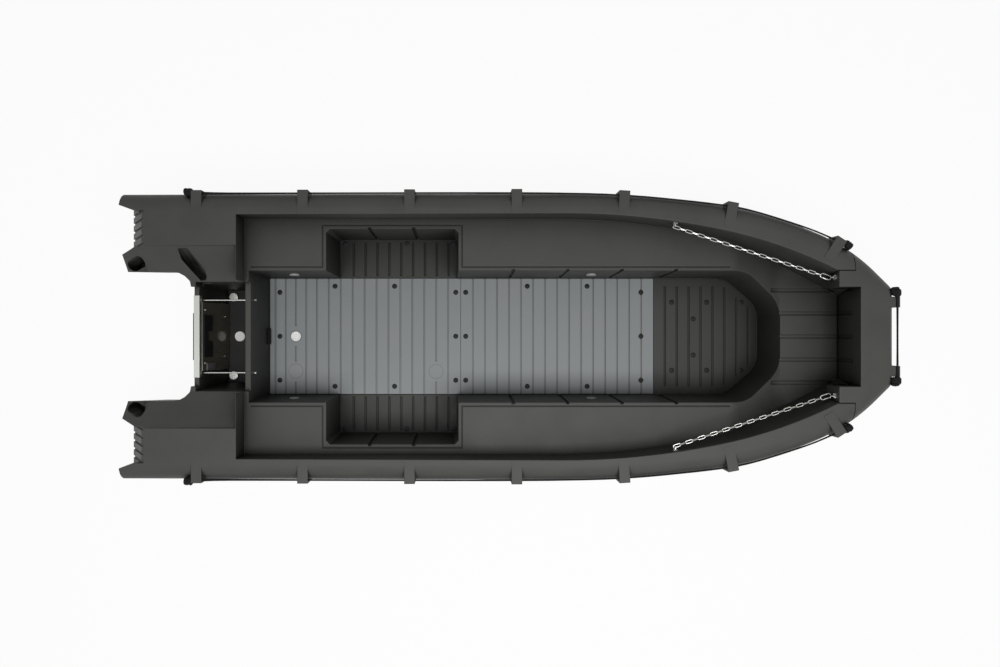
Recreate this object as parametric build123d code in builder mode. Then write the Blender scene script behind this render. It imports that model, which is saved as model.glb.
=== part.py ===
"""Polyethylene workboat with a bow door, in millimetres.

X points to the bow, Y to port, Z up. The origin is on the floor, halfway along the boat.
The hull is one two-skinned moulding; the space between its skins is closed and drawn solid.
"""

import os
from math import atan2, cos, degrees, radians, sin, sqrt, tan

from build123d import *

os.makedirs("parts", exist_ok=True)

# Hull outline at its widest, with the turns of the side towards the bow.
hull_length = 4930
half_beam = 923
bow_taper_length = 2105
side_turn_angle, side_turn_radius = 8, 6826
shoulder_turn_angle, shoulder_turn_radius = 16, 2616
bow_turn_angle, bow_turn_radius = 21, 1165
bow_corner_radius = 60
stern_x = -2475
bow_x = stern_x + hull_length
straight_side_end_x = bow_x - bow_taper_length
overrun = 60

# Heights of the moulding. The gunwale's plane rises towards the bow.
gunwale_height = 790
gunwale_rise_angle = 0.9
bench_height = 610
floor_height = 190
bow_deck_height = 520
splashwell_height = 200

# Side of the hull from the keel up.
bottom_inset = 190
chine_height, chine_inset = 120, 125
belt_depth, belt_underside_inset = 180, 4
flank_drop, flank_inset = 70, 55
belt_rise = 100
belt_round = 108
belt_facets = 5
belt_underside_height = gunwale_height - belt_depth
flank_height = belt_underside_height - flank_drop

# Keel, runners and stem.
runner_width = 213
tunnel_inner_y, tunnel_outer_y = 110, half_beam - bottom_inset - runner_width
tunnel_depth = 85
stem_angle, stem_straight = 45, 150

# Walls of the interior: half widths aft, then two turns towards the bow.
gunwale_width, wall_lean_in = 143, 6
wall_head_rise = 50
wall_head_height, wall_foot_height = gunwale_height + wall_head_rise, bow_deck_height
wall_head_half = half_beam - gunwale_width
wall_foot_half = wall_head_half - wall_lean_in
wall_head_angle_1, wall_head_radius_1 = 12, 4867
wall_head_angle_2, wall_head_radius_2 = 15, 2897
wall_foot_angle_1, wall_foot_radius_1 = 13, 4223
wall_foot_angle_2, wall_foot_radius_2 = 16, 2850
wall_draft = 2
bow_deck_length, bench_ramp_length = 605, 370
bow_deck_start_x = bow_x - bow_deck_length
bench_ramp_start_x = bow_deck_start_x - bench_ramp_length
bench_width = 354
cockpit_half = wall_foot_half - bench_width
cockpit_front_to_bow, cockpit_corner_length = 613, 242
cockpit_front_x = bow_x - cockpit_front_to_bow
cockpit_corner_start_x = cockpit_front_x - cockpit_corner_length
cockpit_corner_end_share = 0.512
cockpit_corner_radius = 200

# Bow door and the seam round it.
door_gap = 5
door_sill_drop, door_sill_to_bow = 20, 193
door_face_foot_to_bow, door_face_head_to_bow = 213, 241
door_cheek_to_bow, door_arm_to_bow = 269, 373
door_arm_width, door_arm_drop = 101, 150
door_crease_to_bow, door_crease_radius, door_crease_drop = 182, 165, 22
door_sill_x, door_sill_height = bow_x - door_sill_to_bow, bow_deck_height - door_sill_drop
door_face_foot_x, door_face_head_x = bow_x - door_face_foot_to_bow, bow_x - door_face_head_to_bow
door_cheek_x, door_arm_aft_x = bow_x - door_cheek_to_bow, bow_x - door_arm_to_bow

# Stern: the notch between the sponsons, the transom, the falling shoulders.
sponson_width, notch_flare = 518, 75
notch_head_half = half_beam - sponson_width
notch_foot_half = notch_head_half + notch_flare
notch_corner_radius, notch_corner_facets = 90, 4
transom_height = 550
sponson_length = 404
transom_aft_x = stern_x + sponson_length
transom_wall = 31
transom_rake = 12
transom_ledge, shoulder_width, shoulder_overhang = 75, 178, 43
transom_opening_half = notch_head_half - transom_ledge
shoulder_head_y = notch_head_half + shoulder_width
shoulder_foot_y = notch_head_half - shoulder_overhang
shoulder_middle_share, shoulder_middle_height_share = 0.421, 0.37
shoulder_foot_rise, bulkhead_rise = 40, 20
shoulder_foot_height = transom_height + shoulder_foot_rise
bulkhead_height = transom_height + bulkhead_rise
splashwell_lean, splashwell_length = 33, 346
splashwell_foot_half = shoulder_foot_y - splashwell_lean
bulkhead_aft_x = transom_aft_x + splashwell_length
bulkhead_thickness = 49
cockpit_aft_x = bulkhead_aft_x + bulkhead_thickness
stern_wall_head, stern_wall_foot = 48, 40
wall_aft_head_x, wall_aft_foot_x = cockpit_aft_x - stern_wall_head, cockpit_aft_x - stern_wall_foot

# Hose passage through the port shoulder, beside the splashwell.
passage_set_in, passage_side = 36, 27
passage_length, passage_width, passage_corner, passage_turn = 168, 66, 24, -42
passage_depth, passage_lean = 90, 30

# Boarding steps and tow eyes in the ends of the sponsons.
step_head_length, step_root_length, step_drop = 149, 105, 200
step_head_x, step_root_x = stern_x + step_head_length, stern_x + step_root_length
step_inner_wall, step_inner_tip, step_outer_wall, step_outer_tip = 172, 95, 117, 62
step_inner_y, step_inner_tip_y = notch_head_half + step_inner_wall, notch_head_half + step_inner_tip
step_outer_y, step_outer_tip_y = half_beam - step_outer_wall, half_beam - step_outer_tip
tow_eye_set_in, tow_eye_side = 82, 66
tow_eye_x, tow_eye_y = stern_x + tow_eye_set_in, notch_head_half + tow_eye_side
tow_eye_length, tow_eye_width, tow_eye_corner, tow_eye_turn = 116, 60, 22, 24
step_grooves, step_groove_width, step_groove_depth = 5, 17, 13
tow_eye_depth, tow_eye_lean = 170, 35

# Side wells in the benches.
side_well_set_in, side_well_length = 511, 842
side_well_aft_x = cockpit_aft_x + side_well_set_in
side_well_front_x = side_well_aft_x + side_well_length
side_well_wall = 79
side_well_outer_y = wall_foot_half - side_well_wall
side_well_sink = 5
side_well_corner = 16

# Grooves of the moulding: drains in the walls, boards in the floors, a lip along the benches.
wall_groove_width, wall_groove_depth = 22, 10
bench_groove_pitch, bench_grooves_to_bow = 358, 1328
well_groove_shares = (0.323, 0.667)
floor_groove_width, floor_groove_depth = 13, 6
deck_groove_width, deck_groove_depth, deck_groove_pitch = 24, 5, 155
lip_width, lip_groove_width, lip_groove_depth = 20, 8, 4

# Fender ribs and the grab line through them.
rib_width = 67
first_rib_set_in, last_rib_to_bow = 498, 1032
rib_count = 6
first_rib_x = stern_x + first_rib_set_in
rib_pitch = (bow_x - last_rib_to_bow - first_rib_x) / (rib_count - 1)
rib_reach = 10
rib_root = 150
rib_height = 240
rib_foot_inset = 60
rib_square_drop = 110
cheek_rib_to_bow, cheek_rib_turn = 359, 33
cheek_rib_x = bow_x - cheek_rib_to_bow
door_rib_inset, door_rib_reach = 95, 20
rope_radius = 6
rope_hole_radius = 11
rope_inset, rope_drop = 8, 24
# Bends of the rope round the bow: share of the run between the last two ribs, share of its inset.
rope_bend_shares = ((0.263, 1.75), (0.516, 2.25), (0.761, 1.5))
rope_sides = 6
knot_radius, knot_length, knot_outset = 23, 50, 10
# Sections of a knot along the rope: share of its length from its middle, share of its radius.
knot_shares = ((-0.5, 0.6), (-0.25, 1), (0.25, 1), (0.5, 0.6))
knot_sides = 8
seat_gap = 0.3

# Floor plates and their fasteners.
plate_thickness = 15
plate_margin = 4
plate_half = cockpit_half - plate_margin
plate_aft_length, plate_forward_length = 1376, 1388
plate_aft_x = cockpit_aft_x + plate_margin
plate_seam_x = plate_aft_x + plate_aft_length
plate_front_x = plate_seam_x + plate_forward_length
plate_gap = 3
plate_boards = 16
groove_width, groove_depth = 13, 6
fastener_radius, fastener_height = 18, 4
fastener_sides = 10
fastener_end_inset, fastener_side_inset = 99, 55
aft_fastener_row_shares = (0.052, 0.341, 0.653, 0.974)
forward_fastener_row_shares = (0.026, 0.346, 0.657, 0.937)
cap_radius, cap_height = 36, 5
cap_sides = 24
floor_cap_set_in = 187

# Transom fittings.
cap_sheet = 3
cap_side_gap, cap_skirt, cap_lip = 56, 130, 25
cap_half = transom_opening_half - cap_side_gap
outer_pad_half, outer_pad_height, outer_pad_thickness = 157, 112, 12
outer_pad_drop = 8
inner_plate_side_gap, inner_plate_thickness = 97, 8
inner_plate_half = splashwell_foot_half - inner_plate_side_gap
inner_plate_foot_gap = 6
inner_pad_half, inner_pad_height, inner_pad_thickness = 140, 95, 12
inner_pad_notch_half, inner_pad_notch_depth = 35, 45
rod_side_gap, rod_drop, rod_radius = 84, 50, 5
rod_y, rod_height = splashwell_foot_half - rod_side_gap, transom_height - rod_drop
rod_hole_radius = 7
rod_tail = 12
nut_radius, nut_length = 11, 12
bung_gap, bung_side_gap, bung_radius, bung_height = 4.6, 14, 33, 14
splash_cap_set_in = 80
drain_block_half, drain_block_length = 55, 12
drain_block_foot, drain_block_height = 4, 45
socket_edge_gap, socket_width, socket_height, socket_thickness = 1.5, 49, 90, 6
socket_drop = 115

# Wall discs in the cockpit.
disc_radius, disc_thickness = 34, 10
disc_rise = 235
disc_set_in, disc_to_bow = 240, 1854
disc_height = floor_height + disc_rise
disc_places_x = (cockpit_aft_x + disc_set_in, bow_x - disc_to_bow)

# Chains, their eyes and snap hooks.
chain_eye_to_bow, chain_eye_drop = 1383, 33
chain_eye_x, chain_eye_height = bow_x - chain_eye_to_bow, gunwale_height - chain_eye_drop
door_eye_side, door_eye_drop = 38, 17
door_eye_height = gunwale_height - door_eye_drop
eye_bar_radius = 4
eye_half_height, eye_reach, eye_corner = 14, 24, 6
eye_plate_half, eye_plate_corner, eye_plate_thickness = 16, 5, 4
eye_play = 1.5
link_wire = 6
link_inner_width, link_corner, link_gap = 10, 7, 0.3
link_count = 24
hook_under_eye = 6
hook_length, hook_width, hook_wire, hook_corner = 74, 34, 7, 9
hook_past_bar = 14

# Hinges of the door, on the outer faces of stem and door.
hinge_spread_share = 0.656
hinge_width, hinge_leaf_length, hinge_leaf_thickness = 90, 95, 5
hinge_barrel_sides = 12
hinge_barrel_radius, hinge_pin_radius = 10, 5
hinge_bore_clearance = 0.05
hinge_knuckle_gap = 0.5
hinge_leaf_gap = 1.5


def heading(angle):
    return (cos(radians(angle)), -sin(radians(angle)))


def arc_end(start, radius, turn_from, turn_to):
    """End of an arc that turns to starboard from one heading to another."""
    forward = radius * (sin(radians(turn_to)) - sin(radians(turn_from)))
    inward = radius * (cos(radians(turn_from)) - cos(radians(turn_to)))
    return (start[0] + forward, start[1] - inward)


def gunwale_z(x):
    return gunwale_height + x * tan(radians(gunwale_rise_angle))


def tilted_plane(height):
    """Section plane at a height amidships; it rises with the gunwale in proportion."""
    rise = radians(gunwale_rise_angle * height / gunwale_height)
    return Plane(origin=(0, 0, height), x_dir=(cos(rise), 0, sin(rise)), z_dir=(-sin(rise), 0, cos(rise)))


heading_1 = side_turn_angle
heading_2 = heading_1 + shoulder_turn_angle
heading_3 = heading_2 + bow_turn_angle


# Turns of each outline towards the bow: angle, radius.
side_turns = (
    (side_turn_angle, side_turn_radius),
    (shoulder_turn_angle, shoulder_turn_radius),
    (bow_turn_angle, bow_turn_radius),
)
wall_head_turns = ((wall_head_angle_1, wall_head_radius_1), (wall_head_angle_2, wall_head_radius_2))
wall_foot_turns = ((wall_foot_angle_1, wall_foot_radius_1), (wall_foot_angle_2, wall_foot_radius_2))


def turned_y(x, half, turns):
    """Half width at a station of an outline that is straight aft and then turns in."""
    start, turn_from = (straight_side_end_x, half), 0
    if x <= start[0]:
        return half
    for angle, radius in turns:
        end = arc_end(start, radius, turn_from, turn_from + angle)
        if x <= end[0]:
            sine = sin(radians(turn_from)) + (x - start[0]) / radius
            return start[1] - radius * (cos(radians(turn_from)) - sqrt(1 - sine * sine))
        start, turn_from = end, turn_from + angle
    return start[1] - (x - start[0]) * tan(radians(turn_from))


def side_y(x):
    """Half the beam at the widest level, at a station."""
    return turned_y(x, half_beam, side_turns)


def side_heading(x):
    """Angle by which the side has turned in at a station."""
    step = rope_radius
    return degrees(atan2(side_y(x) - side_y(x + step), step))


def wall_y(x, z):
    """Half the width between the inner walls above the benches."""
    share = (z - wall_foot_height) / (wall_head_height - wall_foot_height)
    foot = turned_y(x, wall_foot_half, wall_foot_turns)
    return foot + share * (turned_y(x, wall_head_half, wall_head_turns) - foot)


# What stands between the inner walls at the bow takes its width from them.
door_arm_outer_y = wall_y(door_arm_aft_x, gunwale_z(door_arm_aft_x))
door_arm_inner_y = door_arm_outer_y - door_arm_width
door_rib_y = door_arm_inner_y - door_rib_inset
door_eye_y = door_arm_outer_y - door_eye_side
hinge_spread = hinge_spread_share * door_arm_inner_y
hinge_places_y = (-hinge_spread, 0, hinge_spread)
cockpit_corner_end_y = cockpit_corner_end_share * cockpit_half


def hull_outline(inset):
    """Closed plan outline of the hull, drawn in by an inset, as lines and tangent arcs."""
    p1 = (straight_side_end_x, half_beam - inset)
    p2 = arc_end(p1, side_turn_radius - inset, 0, heading_1)
    p3 = arc_end(p2, shoulder_turn_radius - inset, heading_1, heading_2)
    p4 = arc_end(p3, bow_turn_radius - inset, heading_2, heading_3)
    front = bow_x - inset
    corner_x = front - bow_corner_radius * (1 - sin(radians(heading_3)))
    p5 = (corner_x, p4[1] - (corner_x - p4[0]) * tan(radians(heading_3)))
    p6 = (front, p5[1] - bow_corner_radius * cos(radians(heading_3)))
    with BuildLine() as outline:
        Line((stern_x, 0), (stern_x, half_beam - inset))
        Line((stern_x, half_beam - inset), p1)
        JernArc(p1, (1, 0), side_turn_radius - inset, -side_turn_angle)
        JernArc(p2, heading(heading_1), shoulder_turn_radius - inset, -shoulder_turn_angle)
        JernArc(p3, heading(heading_2), bow_turn_radius - inset, -bow_turn_angle)
        Line(p4, p5)
        JernArc(p5, heading(heading_3), bow_corner_radius, heading_3 - 90)
        Line(p6, (front, 0))
        mirror(about=Plane.XZ)
    return outline.line


def wall_outline(half, turns, aft_x, end_x):
    """Closed plan outline between the inner walls: straight aft, turning in towards the bow."""
    (angle_1, radius_1), (angle_2, radius_2) = turns
    p1 = (straight_side_end_x, half)
    p2 = arc_end(p1, radius_1, 0, angle_1)
    p3 = arc_end(p2, radius_2, angle_1, angle_1 + angle_2)
    p4 = (end_x, p3[1] - (end_x - p3[0]) * tan(radians(angle_1 + angle_2)))
    with BuildLine() as outline:
        Line((aft_x, 0), (aft_x, half))
        Line((aft_x, half), p1)
        JernArc(p1, (1, 0), radius_1, -angle_1)
        JernArc(p2, heading(angle_1), radius_2, -angle_2)
        Line(p3, p4)
        Line(p4, (end_x, 0))
        mirror(about=Plane.XZ)
    return outline.line


def hull_sections():
    """Heights and insets of the hull's level sections, from the keel to the gunwale."""
    rows = [
        (0, bottom_inset),
        (chine_height, chine_inset),
        (flank_height, flank_inset),
        (belt_underside_height, belt_underside_inset),
    ]
    for step in range(belt_facets + 1):
        angle = radians(90 * step / belt_facets)
        rows.append((gunwale_height - belt_rise * (1 - sin(angle)), belt_round * (1 - cos(angle))))
    return rows


def rib_plane(x, y, turn):
    """Upright plane with its X along the outward direction, which turns from port to the bow."""
    outward = (sin(radians(turn)), cos(radians(turn)), 0)
    return Plane(origin=(x, y, 0), x_dir=outward, z_dir=(outward[1], -outward[0], 0))


def rib_rows():
    """Place, turn and reach of each rib on the port side, from the stern to the bow."""
    rows = []
    for number in range(rib_count):
        x = first_rib_x + number * rib_pitch
        rows.append((x, side_y(x), side_heading(x), rib_reach))
    rows.append((cheek_rib_x, side_y(cheek_rib_x), cheek_rib_turn, rib_reach))
    rows.append((bow_x, door_rib_y, 90, door_rib_reach))
    return rows


def rope_place(x, y, turn, reach):
    """Where the rope passes through a rib's middle."""
    place = rib_plane(x, y, turn).from_local_coords((reach - rib_reach - rope_inset, 0))
    return Vector(place.X, place.Y, gunwale_z(x) - rope_drop)


# Outside of the hull and door together: level sections joined by ruled faces.
with BuildPart() as outer_body:
    for height, inset in hull_sections():
        with BuildSketch(tilted_plane(height)):
            with BuildLine():
                add(hull_outline(inset))
            make_face()
    loft(ruled=True)

with BuildPart() as port_ribs:
    for x, y, turn, reach in rib_rows():
        top = gunwale_z(x)
        with BuildSketch(rib_plane(x, y, turn)):
            with BuildLine():
                Polyline(
                    (-rib_root, top),
                    (reach, top),
                    (reach, top - rib_square_drop),
                    (-rib_foot_inset, top - rib_height),
                    (-rib_root, top - rib_height),
                    close=True,
                )
            make_face()
        extrude(amount=rib_width / 2, both=True)
        middle = rope_place(x, y, turn, reach)
        hole_turn = min(turn, side_heading(x)) if turn < 90 else turn
        with BuildSketch(Plane(origin=middle, z_dir=rib_plane(x, y, hole_turn).z_dir)):
            RegularPolygon(rope_hole_radius, rope_sides)
        extrude(amount=rib_width, both=True, mode=Mode.SUBTRACT)

# Stem: the keel line turns up from the forefoot to the door's sill and runs on straight.
stem_along = (cos(radians(stem_angle)), sin(radians(stem_angle)))
stem_turn_x = door_sill_x - stem_straight * stem_along[0]
stem_turn_z = door_sill_height - stem_straight * stem_along[1]
stem_radius = stem_turn_z / (1 - stem_along[0])
forefoot_x = stem_turn_x - stem_radius * stem_along[1]
stem_end_x = bow_x + 5 * overrun
stem_end_z = door_sill_height + (stem_end_x - door_sill_x) * tan(radians(stem_angle))

with BuildPart() as stem_cut:
    with BuildSketch(Plane.XZ):
        with BuildLine():
            JernArc((forefoot_x, 0), (1, 0), stem_radius, stem_angle)
            Polyline(
                (stem_turn_x, stem_turn_z),
                (stem_end_x, stem_end_z),
                (stem_end_x, -overrun),
                (forefoot_x, -overrun),
                (forefoot_x, 0),
            )
        make_face()
    extrude(amount=half_beam + overrun, both=True)

# Tunnels between the centre keel and the side runners.
with BuildPart() as tunnels:
    with BuildSketch(Plane.YZ.offset(stern_x - overrun)):
        for side in (1, -1):
            with BuildLine():
                ThreePointArc(
                    (side * tunnel_inner_y, 0),
                    (side * (tunnel_inner_y + tunnel_outer_y) / 2, tunnel_depth),
                    (side * tunnel_outer_y, 0),
                )
                Polyline(
                    (side * tunnel_outer_y, 0),
                    (side * tunnel_outer_y, -overrun),
                    (side * tunnel_inner_y, -overrun),
                    (side * tunnel_inner_y, 0),
                )
            make_face()
    extrude(amount=hull_length + 2 * overrun)


def both_sides(part):
    return [part, part.mirror(Plane.XZ)]


with BuildPart() as moulded_body:
    add(outer_body.part)
    add(both_sides(port_ribs.part))
    add(tunnels.part, mode=Mode.SUBTRACT)
    add(stem_cut.part, mode=Mode.SUBTRACT)


def door_space(gap):
    """Space that the door takes, grown by a gap for the seam in the hull."""
    sill = door_sill_height + door_gap - gap
    top = wall_head_height + overrun
    front = bow_x + 2 * overrun
    lean = (door_face_foot_x - door_face_head_x) / (wall_head_height - bow_deck_height)
    with BuildPart() as space:
        with BuildSketch(Plane.XZ):
            with BuildLine():
                Polyline(
                    (door_face_foot_x + lean * (bow_deck_height - sill) - gap, sill),
                    (front, sill),
                    (front, top),
                    (door_face_foot_x - lean * (top - bow_deck_height) - gap, top),
                    close=True,
                )
            make_face()
        extrude(amount=door_arm_inner_y + overrun / 2, both=True)
        for side in (1, -1):
            outer = half_beam + 2 * overrun
            with BuildSketch(Plane.XY.offset(sill)):
                with BuildLine():
                    Polyline(
                        (door_cheek_x - gap, side * door_arm_inner_y),
                        (front, side * door_arm_inner_y),
                        (front, side * outer),
                        (door_cheek_x - gap, side * outer),
                        close=True,
                    )
                make_face()
            extrude(amount=top - sill)
            arm_sole = gunwale_z(door_arm_aft_x) - door_arm_drop - gap
            with BuildSketch(Plane.XY.offset(arm_sole)):
                with BuildLine():
                    Polyline(
                        (door_arm_aft_x - gap, side * (door_arm_inner_y - gap)),
                        (door_cheek_x + overrun, side * (door_arm_inner_y - gap)),
                        (door_cheek_x + overrun, side * (door_arm_outer_y + gap)),
                        (door_arm_aft_x - gap, side * (door_arm_outer_y + gap)),
                        close=True,
                    )
                make_face()
            extrude(amount=top - arm_sole)
    return space.part


# Space between the inner walls, down to the benches and the bow deck.
with BuildPart() as upper_space:
    for height, half, turns, aft_x in (
        (wall_foot_height, wall_foot_half, wall_foot_turns, wall_aft_foot_x),
        (wall_head_height, wall_head_half, wall_head_turns, wall_aft_head_x),
    ):
        with BuildSketch(Plane.XY.offset(height)):
            with BuildLine():
                add(wall_outline(half, turns, aft_x, door_face_foot_x))
            make_face()
    loft(ruled=True)
    with BuildSketch(Plane.XZ):
        with BuildLine():
            Polyline(
                (stern_x, bench_height),
                (bench_ramp_start_x, bench_height),
                (bow_deck_start_x, bow_deck_height),
                (bow_x, bow_deck_height),
                (bow_x, wall_head_height + overrun),
                (stern_x, wall_head_height + overrun),
                close=True,
            )
        make_face()
    extrude(amount=half_beam, both=True, mode=Mode.INTERSECT)

with BuildPart() as cockpit_space:
    with BuildSketch(Plane.XY.offset(floor_height)) as cockpit_sketch:
        with BuildLine():
            Polyline(
                (cockpit_aft_x, cockpit_half),
                (cockpit_corner_start_x, cockpit_half),
                (cockpit_front_x, cockpit_corner_end_y),
                (cockpit_front_x, -cockpit_corner_end_y),
                (cockpit_corner_start_x, -cockpit_half),
                (cockpit_aft_x, -cockpit_half),
                close=True,
            )
        make_face()
        front_corners = cockpit_sketch.vertices().group_by(Axis.X)[1:]
        fillet([corner for group in front_corners for corner in group], cockpit_corner_radius)
    extrude(amount=bench_height - floor_height + overrun, taper=-wall_draft)
    with BuildSketch(Plane.XY.offset(floor_height)):
        with Locations(((plate_aft_x + plate_front_x) / 2, 0)):
            Rectangle(plate_front_x - plate_aft_x + 2 * plate_gap, 2 * (plate_half + plate_gap))
    extrude(amount=-plate_thickness)
    for side in (1, -1):
        with BuildSketch(Plane.XY.offset(floor_height - side_well_sink)) as well_sketch:
            with Locations(((side_well_aft_x + side_well_front_x) / 2, side * side_well_outer_y / 2)):
                Rectangle(side_well_front_x - side_well_aft_x, side_well_outer_y)
            chamfer(well_sketch.vertices(), side_well_corner)
        extrude(amount=bench_height - floor_height + overrun, taper=-wall_draft)

rake = tan(radians(transom_rake))


def transom_x(z, from_aft_face=0):
    """X on the raked transom at a height, counted forward from its aft face."""
    return transom_aft_x + (transom_height - z) * rake + from_aft_face


# Stern: the notch for the engine, the falling shoulders, the splashwell and the boarding steps.
with BuildPart() as stern_cuts:
    top = gunwale_height + overrun
    for height, half in ((-overrun, notch_foot_half), (top, notch_head_half)):
        corner = []
        for number in range(notch_corner_facets + 1):
            turn = radians(90 * number / notch_corner_facets)
            back, inward = notch_corner_radius * (1 - sin(turn)), notch_corner_radius * (1 - cos(turn))
            corner.append((transom_x(height) - back, half - inward))
        starboard_corner = [(x, -y) for x, y in reversed(corner)]
        with BuildSketch(Plane.XY.offset(height)):
            with BuildLine():
                Polyline(
                    (stern_x - overrun, half),
                    *corner,
                    *starboard_corner,
                    (stern_x - overrun, -half),
                    close=True,
                )
            make_face()
    loft(ruled=True)
    shoulder_head_z = gunwale_z(stern_x)
    shoulder_middle = (
        shoulder_foot_y + shoulder_middle_share * (shoulder_head_y - shoulder_foot_y),
        shoulder_foot_height + shoulder_middle_height_share * (shoulder_head_z - shoulder_foot_height),
    )
    with BuildSketch(Plane.YZ.offset(stern_x - overrun)):
        with BuildLine():
            Line((0, top), (shoulder_head_y, top))
            Line((shoulder_head_y, top), (shoulder_head_y, shoulder_head_z))
            ThreePointArc(
                (shoulder_head_y, shoulder_head_z),
                shoulder_middle,
                (shoulder_foot_y, shoulder_foot_height),
            )
            Line((shoulder_foot_y, shoulder_foot_height), (0, shoulder_foot_height))
            mirror(about=Plane.YZ)
        make_face()
    extrude(amount=bulkhead_aft_x - stern_x + overrun)
    with BuildSketch(Plane.XY.offset(splashwell_height)) as splash_foot:
        with BuildLine():
            Polyline(
                (transom_x(splashwell_height, transom_wall), splashwell_foot_half),
                (bulkhead_aft_x, splashwell_foot_half),
                (bulkhead_aft_x, -splashwell_foot_half),
                (transom_x(splashwell_height, transom_wall), -splashwell_foot_half),
                close=True,
            )
        make_face()
    with BuildSketch(Plane.XY.offset(shoulder_foot_height)) as splash_head:
        with BuildLine():
            Polyline(
                (transom_x(shoulder_foot_height, transom_wall), shoulder_foot_y),
                (bulkhead_aft_x, shoulder_foot_y),
                (bulkhead_aft_x, -shoulder_foot_y),
                (transom_x(shoulder_foot_height, transom_wall), -shoulder_foot_y),
                close=True,
            )
        make_face()
    loft([splash_foot.sketch, splash_head.sketch], ruled=True)
    with BuildSketch(Plane.XY.offset(transom_height)):
        with Locations(((stern_x + transom_x(transom_height, transom_wall)) / 2 + overrun, 0)):
            Rectangle(transom_x(transom_height, transom_wall) - stern_x, 2 * transom_opening_half)
    extrude(amount=top - transom_height)
    with BuildSketch(Plane.XY.offset(bulkhead_height)):
        with Locations(((bulkhead_aft_x + cockpit_aft_x) / 2, 0)):
            Rectangle(cockpit_aft_x - bulkhead_aft_x + overrun, 2 * shoulder_foot_y)
    extrude(amount=top - bulkhead_height)

with BuildPart() as port_step_cut:
    with BuildSketch(Plane.XY.offset(gunwale_height - step_drop - overrun)):
        with BuildLine():
            Polyline(
                (step_head_x + overrun, step_outer_y),
                (step_root_x, step_outer_y),
                (stern_x - overrun, step_outer_tip_y),
                (stern_x - overrun, step_inner_tip_y),
                (step_root_x, step_inner_y),
                (step_head_x + overrun, step_inner_y),
                close=True,
            )
        make_face()
    extrude(amount=step_drop + 3 * overrun)
    with BuildSketch(Plane.XZ):
        with BuildLine():
            slope = step_drop / (step_head_x - stern_x)
            head_z = gunwale_z(step_head_x)
            Polyline(
                (step_head_x + overrun, head_z + slope * overrun),
                (stern_x - overrun, head_z - step_drop - slope * overrun),
                (stern_x - overrun, gunwale_height + 3 * overrun),
                (step_head_x + overrun, gunwale_height + 3 * overrun),
                close=True,
            )
        make_face()
    extrude(amount=-half_beam, mode=Mode.INTERSECT)
    groove_pitch = (step_outer_y - step_inner_y - step_groove_width) / (step_grooves - 1)
    for number in range(step_grooves):
        groove_y = step_inner_y + step_groove_width / 2 + number * groove_pitch
        with BuildSketch(Plane.XZ.offset(-groove_y)):
            with BuildLine():
                Polyline(
                    (step_head_x + step_groove_depth, head_z + overrun),
                    (step_head_x + step_groove_depth, head_z),
                    (stern_x, head_z - step_drop - step_groove_depth * slope),
                    (stern_x - overrun, head_z - step_drop - step_groove_depth * slope),
                    (stern_x - overrun, head_z + overrun),
                    close=True,
                )
            make_face()
        extrude(amount=step_groove_width / 2, both=True)

with BuildPart() as port_tow_eye:
    lean = radians(tow_eye_lean)
    turn = radians(tow_eye_turn)
    with BuildSketch(
        Plane(
            origin=(tow_eye_x, tow_eye_y + overrun * tan(lean), gunwale_z(stern_x)),
            x_dir=(cos(turn), sin(turn), 0),
            z_dir=(0, 0, 1),
        )
    ) as tow_eye_sketch:
        Rectangle(tow_eye_length, tow_eye_width)
        chamfer(tow_eye_sketch.vertices(), tow_eye_corner)
    extrude(amount=3 * tow_eye_depth, dir=(0, -sin(lean), -cos(lean)))

with BuildPart() as passage_cut:
    lean = radians(passage_lean)
    turn = radians(passage_turn)
    passage_foot_z = shoulder_foot_height - passage_depth
    with BuildSketch(
        Plane(
            origin=(
                transom_aft_x + passage_set_in,
                notch_head_half + passage_side - passage_depth * tan(lean),
                passage_foot_z,
            ),
            x_dir=(cos(turn), sin(turn), 0),
            z_dir=(0, 0, 1),
        )
    ) as passage_sketch:
        Rectangle(passage_length, passage_width)
        chamfer(passage_sketch.vertices(), passage_corner)
    extrude(amount=3 * passage_depth, dir=(0, sin(lean), cos(lean)))


def rod_line(radius, start_x, end_x):
    """Bar or hole along the two tie rods."""
    with BuildPart() as line:
        for side in (1, -1):
            with BuildSketch(Plane.YZ.offset(start_x)):
                with Locations((side * rod_y, rod_height)):
                    RegularPolygon(radius, hinge_barrel_sides)
            extrude(amount=end_x - start_x)
    return line.part




def cockpit_plan(grow):
    """Outline of the cockpit with its side wells, grown by a distance."""
    with BuildSketch(mode=Mode.PRIVATE) as plan:
        with BuildLine():
            Polyline(
                (cockpit_aft_x, cockpit_half),
                (cockpit_corner_start_x, cockpit_half),
                (cockpit_corner_start_x, -cockpit_half),
                (cockpit_aft_x, -cockpit_half),
                close=True,
            )
        make_face()
        with Locations(((side_well_aft_x + side_well_front_x) / 2, 0)):
            Rectangle(side_well_front_x - side_well_aft_x, 2 * side_well_outer_y)
        offset(amount=grow, kind=Kind.INTERSECTION)
    return plan.sketch


board_pitch = plate_aft_length / plate_boards
well_boards_aft = [plate_aft_x + board_pitch * number for number in range(plate_boards + 1)]
well_groove_places = [
    x
    for x in well_boards_aft
    if side_well_aft_x + floor_groove_width < x < side_well_front_x - floor_groove_width
]
bow_groove_count = int((cockpit_front_x - plate_front_x - floor_groove_width) / board_pitch)
deck_groove_places = [number * deck_groove_pitch for number in (-2, -1, 0, 1, 2)]
bench_groove_places = [bow_x - bench_grooves_to_bow - number * bench_groove_pitch for number in range(4)]

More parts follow.
